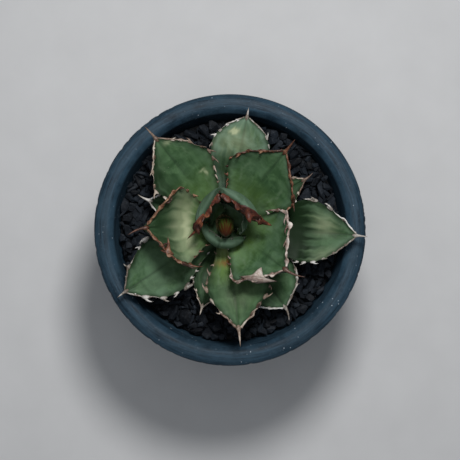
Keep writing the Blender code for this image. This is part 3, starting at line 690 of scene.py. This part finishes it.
def rod(path, widths, heights, sideways, sides=8):
    """A closed rod along a path, wide along sideways: points, faces, and each point's share."""
    path = np.asarray(path, float)
    along = unit(np.gradient(path, axis=0))
    wide = np.broadcast_to(sideways, path.shape)
    wide = unit(wide - along * np.sum(wide * along, axis=1, keepdims=True))
    high = np.cross(along, wide)
    turn = 2 * np.pi * np.arange(sides) / sides
    ring = (wide * widths[:, None])[:, None] * np.cos(turn)[None, :, None]
    ring = ring + (high * heights[:, None])[:, None] * np.sin(turn)[None, :, None]
    verts = (path[:, None] + ring).reshape(-1, 3)
    rows = len(path)
    faces = grid_faces(rows, sides)
    shares = np.repeat(np.linspace(0, 1, rows), sides)
    start, end = len(verts), len(verts) + 1
    foot = path[0] - along[0] * heights[0] * 0.5
    point = path[-1] + along[-1] * heights[-1] * 0.8
    verts = np.vstack([verts, foot, point])
    shares = np.append(shares, (0, 1))
    for k in range(sides):
        nxt = (k + 1) % sides
        faces.append((start, nxt, k))
        faces.append((end, (rows - 1) * sides + k, (rows - 1) * sides + nxt))
    return verts, faces, shares


def tooth_rod(blade, tooth):
    """A hooked tooth on the edge, thick at its foot and tapering to a point."""
    length = tooth.length * MM
    around = np.array([tooth.share - 0.004, tooth.share, tooth.share + 0.004])
    edge, face, out = blade.edge(tooth.side, around)
    onward = unit(edge[2] - edge[0])
    out = unit(out[1] - onward * np.dot(out[1], onward))
    lean = math.radians(tooth.lean)
    start = out * math.cos(lean) + face[1] * math.sin(lean)
    over = onward * math.copysign(1.0, tooth.curl)
    steps = 16
    root = 0.7 * MM
    path = [edge[1] - out * root]
    for j in range(1, steps):
        angle = math.radians(abs(tooth.curl)) * (j / (steps - 1)) ** 1.2
        step = (length + root) / (steps - 1)
        path.append(path[-1] + (start * math.cos(angle) + over * math.sin(angle)) * step)
    t = np.linspace(0, 1, steps)
    girth = tooth.girth * (0.24 * MM + 0.075 * length)
    radii = girth * (1 - t) ** 0.8 * (1 + 0.5 * np.exp(-((t / 0.16) ** 2))) + 0.03 * MM
    return rod(path, radii * (1.2 + 0.9 * np.exp(-((t / 0.20) ** 2))), radii, onward)


def border_rod(blade, side):
    """The horny border along one edge, uneven, from where it starts to the leaf's point."""
    leaf = blade.leaf
    s = np.linspace(leaf.border_from, 0.997, 120)
    edge, face, out = blade.edge(side, s)
    at = np.interp(s, blade.grid, blade.edge_length[side]) / MM
    growth = 0.10 + 0.90 * smooth_step(s, leaf.border_from, leaf.border_from + 0.5 * (1 - leaf.border_from))
    a, b, c = (phase + side for phase in blade.phases[2:5])
    ragged = 0.42 * np.sin(0.85 * at + a) + 0.30 * np.sin(1.9 * at + b) + 0.06 * np.sin(5.1 * at + c)
    heights = leaf.border * MM * growth * (1 + 0.18 * np.sin(1.9 * at + c))
    widths = leaf.ribbon * leaf.border * MM * growth * (1 + ragged * min(0.9, 1.3 * leaf.border))
    turned = unit(out + face * 0.45 * np.sin(0.7 * at + b)[:, None])
    path = edge + turned * (0.55 * widths - 0.30 * heights)[:, None] + face * 0.25 * heights[:, None]
    verts, faces, shares = rod(path, widths, heights, turned)
    return verts, faces, 0.25 + 0.2 * shares


def spine_rod(blade):
    """The end spine, which starts where the two borders meet and runs on along the midrib."""
    leaf = blade.leaf
    length = leaf.spine * MM
    tip = blade.points[3]
    start = tip - blade.along * 1.6 * MM
    ahead = blade.arriving
    if leaf.spine_slope is not None:
        slope = math.radians(leaf.spine_slope)
        ahead = blade.out * math.cos(slope) + np.array((0.0, 0.0, math.sin(slope)))
    sway = blade.across * (leaf.sway + blade.chance.uniform(-0.06, 0.06))
    sway = sway + blade.up * blade.chance.uniform(-0.05, 0.12)
    path = [start + (tip - start) * t for t in (0.0, 0.33, 0.67)]
    path += [tip + (ahead * t + sway * t**2) * length for t in np.linspace(0, 1, 18)]
    t = np.linspace(0, 1, 18)
    girth = (0.52 + 0.02 * leaf.spine) * MM * (0.55 if leaf.thickness < 0.6 else 1.0)
    radii = girth * (1 - t) ** 0.8 * (1 + 0.55 * np.exp(-((t / 0.10) ** 2)))
    radii = np.concatenate([girth * np.array((0.8, 1.1, 1.4)), radii]) + 0.04 * MM
    return rod(path, 1.1 * radii, radii, blade.across, sides=10)


def joined(parts):
    """The points and faces of all parts, and how many points each part has."""
    faces, counts = [], []
    for verts, some_faces in parts:
        first = sum(counts)
        faces += [tuple(first + k for k in face) for face in some_faces]
        counts.append(len(verts))
    return np.vstack([verts for verts, _ in parts]), faces, counts


def horn_mesh(blade, finish):
    """The spine, both borders and all the teeth of one leaf."""
    parts = [spine_rod(blade), border_rod(blade, -1), border_rod(blade, 1)]
    parts += [tooth_rod(blade, tooth) for tooth in blade.teeth]
    verts, faces, counts = joined([part[:2] for part in parts])
    tones = [blade.chance.random() for _ in parts]
    if blade.leaf.spine_tone is not None:
        tones[0] = blade.leaf.spine_tone
    shares = np.concatenate([part[2] for part in parts])
    tones = np.repeat(tones, counts)
    return add_piece(blade.leaf.name + "_horn", verts, faces, finish, share=shares, tone=tones)


def leaf_finish(leaf):
    """Grey-green skin under a pale wax, yellower at the foot, darker at the edge, with painted shade in the
    crease, painted highlights and painted shadows.
    """
    skin = Finish(leaf.name + "_skin", specular_ior_level=0.09)
    place = skin.reading("leaf_place", "Vector")
    along = skin.reading("along")
    inward = skin.reading("inward")
    underside = skin.reading("underside")
    printed = skin.reading("print")
    crease = skin.reading("crease")
    pale = skin.reading("pale")
    dark = skin.reading("dark")
    stain = skin.reading("stain")
    x, y, z = skin.split(place)
    streak_place = skin.join(x, skin.times(y, 0.12), z)
    streaks = skin.noise(streak_place, 900.0, detail=4.0, rough=0.6)
    wide_streaks = skin.noise(streak_place, 260.0, detail=4.0, rough=0.6)
    clouds = skin.noise(place, 95.0, detail=4.0, rough=0.55, twist=0.8)
    blotches = skin.noise(place, 210.0, detail=3.0, rough=0.6, twist=0.5)
    pores = skin.noise(place, 2300.0, detail=2.0)
    colour = skin.blend(skin.span(wide_streaks, 0.30, 0.70), (0.034, 0.078, 0.028), (0.058, 0.122, 0.046))
    dull = skin.blend(0.65, colour, (0.013, 0.038, 0.014))
    colour = skin.blend(skin.span(clouds, 0.36, 0.66), dull, colour)
    colour = skin.blend(skin.span(blotches, 0.50, 0.72, 0.0, 0.55), colour, (0.088, 0.168, 0.072))
    streaked = skin.span(wide_streaks, 0.25, 0.60, 0.6, 1.0)
    yellow = skin.times(skin.span(along, 0.60, 0.12), streaked)
    colour = skin.blend(skin.times(yellow, leaf.young), colour, (0.120, 0.205, 0.032))
    wax_share = skin.times(skin.span(clouds, 0.40, 0.68, 0.15, 1.0), leaf.bloom)
    fading_in = skin.span(inward, 6.0 * MM, 2.2 * MM)
    rim_wax = skin.times(skin.span(inward, 1.0 * MM, 2.2 * MM), fading_in)
    wax_share = skin.sum("ADD", wax_share, skin.times(rim_wax, 0.10 + 0.3 * leaf.bloom))
    wax_share = skin.sum("ADD", wax_share, skin.times(underside, 0.30))
    colour = skin.blend(skin.sum("MINIMUM", wax_share, 0.9), colour, (0.136, 0.212, 0.150))
    edge_dark = skin.span(inward, 0.3 * MM, 3.2 * MM, 0.80, 0.0)
    colour = skin.blend(edge_dark, colour, (0.012, 0.024, 0.012))
    colour = skin.blend(skin.span(streaks, 0.54, 0.78, 0.0, 0.30), colour, (0.085, 0.150, 0.070))
    colour = skin.blend(skin.times(printed, 0.40), colour, (0.125, 0.185, 0.110))
    # Painted shade along the midrib's crease.
    colour = skin.blend(skin.times(crease, 0.55), colour, (0.012, 0.028, 0.013))
    # Pale marks, painted highlights, and painted light where a leaf's foot lies in the cup's shadow.
    colour = skin.blend(pale, colour, (0.360, 0.400, 0.240))
    # Painted shade and shadow where other leaves shade the blade, on the lowest leaves partly an older,
    # darker tone.
    colour = skin.blend(skin.times(dark, 0.85), colour, (0.008, 0.020, 0.007))
    colour = skin.blend(skin.times(stain, 0.8), colour, (0.160, 0.068, 0.018))
    flecks = skin.span(skin.cells(place, 330.0), 0.07, 0.03)
    few = skin.span(skin.noise(place, 120.0, detail=1.0), 0.58, 0.62, 0.0, 0.6)
    colour = skin.blend(skin.times(flecks, few), colour, (0.27, 0.30, 0.22))
    rough = skin.span(clouds, 0.3, 0.7, 0.44, 0.58)
    normal = skin.bump(streaks, 0.35, 0.16 * MM)
    normal = skin.bump(blotches, 0.30, 0.35 * MM, normal)
    normal = skin.bump(pores, 0.20, 0.04 * MM, normal)
    return skin.wear(base_color=colour, roughness=rough, normal=normal)


HORN_COLOURS = {  # dark, middle and light
    "red": ((0.020, 0.006, 0.004), (0.080, 0.019, 0.010), (0.260, 0.095, 0.042)),
    "brown": ((0.030, 0.010, 0.006), (0.115, 0.040, 0.019), (0.300, 0.170, 0.100)),
    "pink": ((0.075, 0.030, 0.017), (0.330, 0.245, 0.205), (0.640, 0.580, 0.520)),
    "tan": ((0.090, 0.050, 0.032), (0.270, 0.195, 0.145), (0.560, 0.500, 0.420)),
    "white": ((0.120, 0.090, 0.065), (0.430, 0.400, 0.360), (0.700, 0.680, 0.650)),
    "dim": ((0.012, 0.010, 0.006), (0.030, 0.026, 0.014), (0.060, 0.050, 0.030)),
    "pale": ((0.050, 0.070, 0.048), (0.110, 0.140, 0.105), (0.240, 0.270, 0.210)),
}


def horn_finish(name):
    dark, middle, light = HORN_COLOURS[name]
    horn = Finish(name + "_horn", roughness=0.46, specular_ior_level=0.40)
    place = horn.place()
    share = horn.reading("share")
    tone = horn.reading("tone")
    patches = horn.noise(place, 330.0, detail=4.0, rough=0.6)
    grain = horn.noise(place, 2600.0, detail=3.0, rough=0.6)
    level = horn.sum("ADD", patches, horn.times(horn.sum("SUBTRACT", tone, 0.5), 0.36))
    colour = horn.blend(horn.span(level, 0.34, 0.52), dark, middle)
    colour = horn.blend(horn.span(level, 0.52, 0.72), colour, light)
    colour = horn.blend(horn.span(share, 0.0, 0.22, 0.55, 0.0), colour, dark)
    colour = horn.blend(horn.span(share, 0.72, 1.0, 0.0, 0.55), colour, dark)
    colour = horn.blend(horn.span(grain, 0.50, 0.75, 0.0, 0.35), colour, light)
    return horn.wear(base_color=colour, normal=horn.bump(grain, 0.40, 0.12 * MM))


horn_finishes = {name: horn_finish(name) for name in HORN_COLOURS}
blades = []
for order, leaf in enumerate(LEAVES, start=1):
    blade = Blade(order, leaf)
    body = blade_mesh(blade, leaf_finish(leaf))
    horn = horn_mesh(blade, horn_finishes[leaf.horn])
    for piece in (body, horn):
        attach(piece, "root")
    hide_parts(leaf.name)
    blades.append(body)


# The heart. The youngest leaves are still rolled into one pointed bud, yellow-green with red-brown
# streaks that run up to its dark point.
BUD_RADIUS = 4.1 * MM
BUD_HEIGHT = 21 * MM
BUD_LEAN = 6.4 * MM
BUD_ROWS = 60
BUD_SIDES = 64


def bud_finish():
    skin = Finish("heart_skin", roughness=0.36, specular_ior_level=0.5)
    along = skin.reading("along")
    turn = skin.reading("turn", "Vector")
    streaks = skin.noise(turn, 5.0, detail=3.0, rough=0.55)
    colour = skin.blend(skin.span(streaks, 0.3, 0.7), (0.045, 0.075, 0.012), (0.120, 0.155, 0.030))
    streaked = skin.span(streaks, 0.40, 0.6, -0.55, 0.45)
    red = skin.sum("ADD", skin.span(along, 0.35, 0.80, 0.0, 1.0), streaked)
    colour = skin.blend(skin.span(red, 0.15, 0.6), colour, (0.052, 0.014, 0.005))
    colour = skin.blend(skin.span(along, 0.80, 0.98), colour, (0.016, 0.005, 0.004))
    return skin.wear(base_color=colour, normal=skin.bump(streaks, 0.4, 0.3 * MM))


bud_foot = STEM_CENTRE + np.array((0, 0, DRESSING_TOP + STEM_RISE - 1 * MM))
verts, along, turns = [], [], []
for i in range(BUD_ROWS):
    t = i / (BUD_ROWS - 1)
    centre = bud_foot + np.array((0.0, -BUD_LEAN * t**1.6, BUD_HEIGHT * t))
    radius = BUD_RADIUS * max(0.012, (0.80 + 1.2 * t - 2.0 * t**2)) * (1 - 0.35 * smooth_step(t, 0.8, 1.0))
    for k in range(BUD_SIDES):
        angle = 2 * math.pi * k / BUD_SIDES
        fold = 1 + 0.10 * (((angle * 2 / math.pi + 1.6 * t) % 2) - 1) * (1 - t)
        verts.append(centre + radius * fold * np.array((math.cos(angle), math.sin(angle), 0.0)))
        along.append(t)
        turns.append((math.cos(angle), math.sin(angle), 0.35 * t))
faces = grid_faces(BUD_ROWS, BUD_SIDES)
faces.append(tuple(range(BUD_SIDES)))
faces.append(tuple(range((BUD_ROWS - 1) * BUD_SIDES, BUD_ROWS * BUD_SIDES)))
bud = add_piece("heart_bud_rolled", verts, faces, bud_finish(), along=along, turn=turns)
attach(bud, "root")
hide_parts("heart_bud")


# The dressing. Broken black lava, blocky bits and long splinters of 4 to 13 mm, poured round the stem on
# to the mix. Each stone lies in the lowest of a few places on those already there, clear of the leaves.
BED_FLOOR = DRESSING_TOP - 6.6 * MM
CELL = 0.6 * MM
SPREAD = 200
STONES = 1700
TRIES = 7  # places tried for each stone
SPLINTERS = 0.45  # share of the stones that are long
SMALL_FROM = 0.5  # the later stones are smaller, and fill the gaps
SMALL_SIZE = 0.60
STEM_CLEARANCE = 8.6 * MM


def stone_finish():
    lava = Finish("broken_lava", specular_ior_level=0.12)
    place = lava.place()
    tone = lava.reading("tone")
    rough_grain = lava.noise(place, 900.0, detail=7.0, rough=0.7)
    pits = lava.cells(place, 1500.0)
    facets = lava.noise(place, 260.0, detail=3.0)
    colour = lava.blend(tone, (0.002, 0.0025, 0.0035), (0.016, 0.021, 0.028))
    colour = lava.blend(lava.span(facets, 0.35, 0.7, 0.0, 0.6), colour, (0.004, 0.005, 0.007))
    colour = lava.blend(lava.span(rough_grain, 0.54, 0.70, 0.0, 0.5), colour, (0.044, 0.054, 0.068))
    height = lava.sum("SUBTRACT", rough_grain, lava.span(pits, 0.3, 0.0, 0.0, 0.3))
    shine = lava.span(facets, 0.35, 0.65, 0.50, 0.85)
    return lava.wear(base_color=colour, roughness=shine, normal=lava.bump(height, 0.6, 0.35 * MM))


def stone_form(chance, size):
    """One broken stone about the origin: the hull of a few corners, with its edges slightly worn."""
    bm = bmesh.new()
    corners = chance.randint(9, 14)
    for _ in range(corners):
        way = Vector((chance.gauss(0, 1), chance.gauss(0, 1), chance.gauss(0, 1))).normalized()
        bm.verts.new([0.5 * w * s * chance.uniform(0.85, 1.0) for w, s in zip(way, size)])
    hull = bmesh.ops.convex_hull(bm, input=bm.verts)
    inside = [g for g in hull["geom_interior"] if isinstance(g, bmesh.types.BMVert)]
    bmesh.ops.delete(bm, geom=inside, context="VERTS")
    bmesh.ops.dissolve_limit(bm, angle_limit=math.radians(14), verts=bm.verts, edges=bm.edges)
    worn = 0.05 * min(size)
    bmesh.ops.bevel(bm, geom=list(bm.edges), offset=worn, segments=1, affect="EDGES", clamp_overlap=True)
    bmesh.ops.triangulate(bm, faces=bm.faces)
    bmesh.ops.recalc_face_normals(bm, faces=bm.faces)
    verts = np.array([v.co[:] for v in bm.verts])
    faces = [tuple(v.index for v in f.verts) for f in bm.faces]
    bm.free()
    return verts, faces


def cell_range(low, high):
    return max(0, int(low / CELL + SPREAD / 2)), min(SPREAD, int(high / CELL + SPREAD / 2) + 2)


class Bed:
    """The height of the stones so far, and of the leaves above them, on a square grid of cells."""

    def __init__(self, leaves):
        middles = (np.arange(SPREAD) + 0.5 - SPREAD / 2) * CELL
        self.x, self.y = np.meshgrid(middles, middles, indexing="ij")
        self.height = np.full((SPREAD, SPREAD), BED_FLOOR)
        self.ceiling = np.full((SPREAD, SPREAD), 1.0)
        for leaf in leaves:
            tree = BVHTree.FromObject(leaf, bpy.context.evaluated_depsgraph_get())
            box = np.array([v.co[:] for v in leaf.data.vertices])
            (x0, x1), (y0, y1) = (cell_range(box[:, k].min(), box[:, k].max()) for k in (0, 1))
            for i in range(x0, x1):
                for j in range(y0, y1):
                    hit = tree.ray_cast(Vector((self.x[i, j], self.y[i, j], BED_FLOOR)), Vector((0, 0, 1)))
                    if hit[0] is not None:
                        self.ceiling[i, j] = min(self.ceiling[i, j], hit[0].z)
        from_stem = np.hypot(self.x - STEM_CENTRE[0], self.y - STEM_CENTRE[1])
        self.ceiling[from_stem < STEM_CLEARANCE] = 0.0

    def rest(self, verts, tree, shift):
        """The height at which the stone would lie there, or None if it touches the wall, stem or a leaf."""
        x, y = verts[:, 0] + shift[0], verts[:, 1] + shift[1]
        (x0, x1), (y0, y1) = cell_range(x.min(), x.max()), cell_range(y.min(), y.max())
        cells = []
        lift = -1.0
        for i in range(x0, x1):
            for j in range(y0, y1):
                at = Vector((self.x[i, j] - shift[0], self.y[i, j] - shift[1], -1.0))
                below = tree.ray_cast(at, Vector((0, 0, 1)))
                if below[0] is None:
                    continue
                at.z = 1.0
                above = tree.ray_cast(at, Vector((0, 0, -1)))
                lift = max(lift, self.height[i, j] - below[0].z)
                cells.append((i, j, above[0].z))
        if not cells:
            return None
        if (np.hypot(x, y) > wall_radius(verts[:, 2] + lift) - 0.2 * MM).any():
            return None
        if any(self.ceiling[i, j] < top + lift + 0.25 * MM for i, j, top in cells):
            return None
        return lift, cells

    def add(self, lift, cells):
        for i, j, top in cells:
            self.height[i, j] = max(self.height[i, j], top + lift)


def lay_stones(bed, chance):
    """Lays every stone, and returns each one's points, faces and tone."""
    laid = []
    for n in range(STONES):
        share = n / STONES
        long = chance.random() < SPLINTERS
        length = chance.uniform(8.5, 13.5) if long else chance.uniform(7.0, 10.5)
        slimness = chance.uniform(0.32, 0.50) if long else chance.uniform(0.65, 0.95)
        size = (length, length * slimness, chance.uniform(3.0, 5.0))
        if share > SMALL_FROM:
            size = tuple(SMALL_SIZE * edge for edge in size)
        verts, faces = stone_form(chance, [edge * MM for edge in size])
        tilt = Matrix.Rotation(chance.uniform(0, 2 * math.pi), 3, "Z")
        tilt = tilt @ Matrix.Rotation(math.radians(chance.gauss(0, 16)), 3, "X")
        tilt = tilt @ Matrix.Rotation(math.radians(chance.gauss(0, 12)), 3, "Y")
        verts = verts @ np.array(tilt).T
        tree = BVHTree.FromPolygons([tuple(v) for v in verts], faces)
        best = None
        for _ in range(TRIES):
            angle = chance.uniform(0, 2 * math.pi)
            reach = wall_radius(DRESSING_TOP) * math.sqrt(chance.uniform(0.02, 1.0))
            shift = (reach * math.cos(angle), reach * math.sin(angle))
            found = bed.rest(verts, tree, shift)
            top = verts[:, 2].max() + found[0] if found else 1.0
            limit = DRESSING_TOP + (1.0 + 2.2 * (reach / wall_radius(DRESSING_TOP)) ** 2) * MM
            if top < limit and (best is None or top < best[0]):
                best = (top, shift, found)
        if best is None:
            continue
        _, shift, (lift, cells) = best
        bed.add(lift, cells)
        laid.append((verts + np.array((shift[0], shift[1], lift)), faces, chance.random()))
    return laid


bed = Bed(blades[6:])
laid = lay_stones(bed, random.Random(31))
verts, faces, counts = joined([stone[:2] for stone in laid])
tones = np.repeat([stone[2] for stone in laid], counts)
dressing = add_piece("lava_dressing", verts, faces, stone_finish(), tone=tones)
dressing.data.shade_flat()
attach(dressing, "root")
loose = [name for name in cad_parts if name.startswith("stone_") and name != "stone_bed"]
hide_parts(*loose)
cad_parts["stone_bed"].data.materials[0] = dressing.data.materials[0]

# The floor, the light and the camera. A pale studio floor, a small soft lamp above and behind the pot,
# a wide one overhead, a weak fill from all round, and a long lens straight above the rim.
CAMERA_HEIGHT = 0.75
VIEW_WIDTH = 0.230
SENSOR = 36.0


def floor_finish():
    paper = Finish("studio_floor", roughness=0.8, specular_ior_level=0.3)
    grain = paper.noise(paper.place(), 40.0, detail=4.0)
    colour = paper.blend(paper.span(grain, 0.3, 0.7), (0.60, 0.60, 0.60), (0.63, 0.63, 0.63))
    return paper.wear(base_color=colour)


HALF_FLOOR = 3.0
corners = [(x * HALF_FLOOR, y * HALF_FLOOR, 0) for x, y in ((-1, -1), (1, -1), (1, 1), (-1, 1))]
floor = add_piece("studio_floor", corners, [(0, 1, 2, 3)], floor_finish())
floor.location.z = -0.2 * MM


def area_light(name, place, target, size, power):
    lamp = bpy.data.lights.new(name, "AREA")
    lamp.shape = "DISK"
    lamp.size = size
    lamp.energy = power
    holder = bpy.data.objects.new(name, lamp)
    holder.location = place
    holder.rotation_euler = (Vector(place) - Vector(target)).to_track_quat("Z", "Y").to_euler()
    bpy.context.scene.collection.objects.link(holder)


TARGET = (0.0, 0.0, RIM_TOP)
area_light("key", (0.05, 0.23, RIM_TOP + 0.52), TARGET, size=0.13, power=2.75)
area_light("overhead", (-0.15, 0.0, RIM_TOP + 1.5), TARGET, size=1.2, power=4.0)
world = bpy.data.worlds.new("studio")
world.use_nodes = True
world.node_tree.nodes["Background"].inputs["Color"].default_value = (0.80, 0.88, 1.0, 1.0)
world.node_tree.nodes["Background"].inputs["Strength"].default_value = 0.14
bpy.context.scene.world = world
bpy.context.scene.view_settings.view_transform = "Standard"

camera = bpy.data.cameras.new("camera")
camera.sensor_width = SENSOR
camera.lens = SENSOR * CAMERA_HEIGHT / VIEW_WIDTH
camera.clip_end = 20.0
camera_holder = bpy.data.objects.new("camera", camera)
camera_holder.location = (0.0, 0.0, RIM_TOP + CAMERA_HEIGHT)
bpy.context.scene.collection.objects.link(camera_holder)
bpy.context.scene.camera = camera_holder
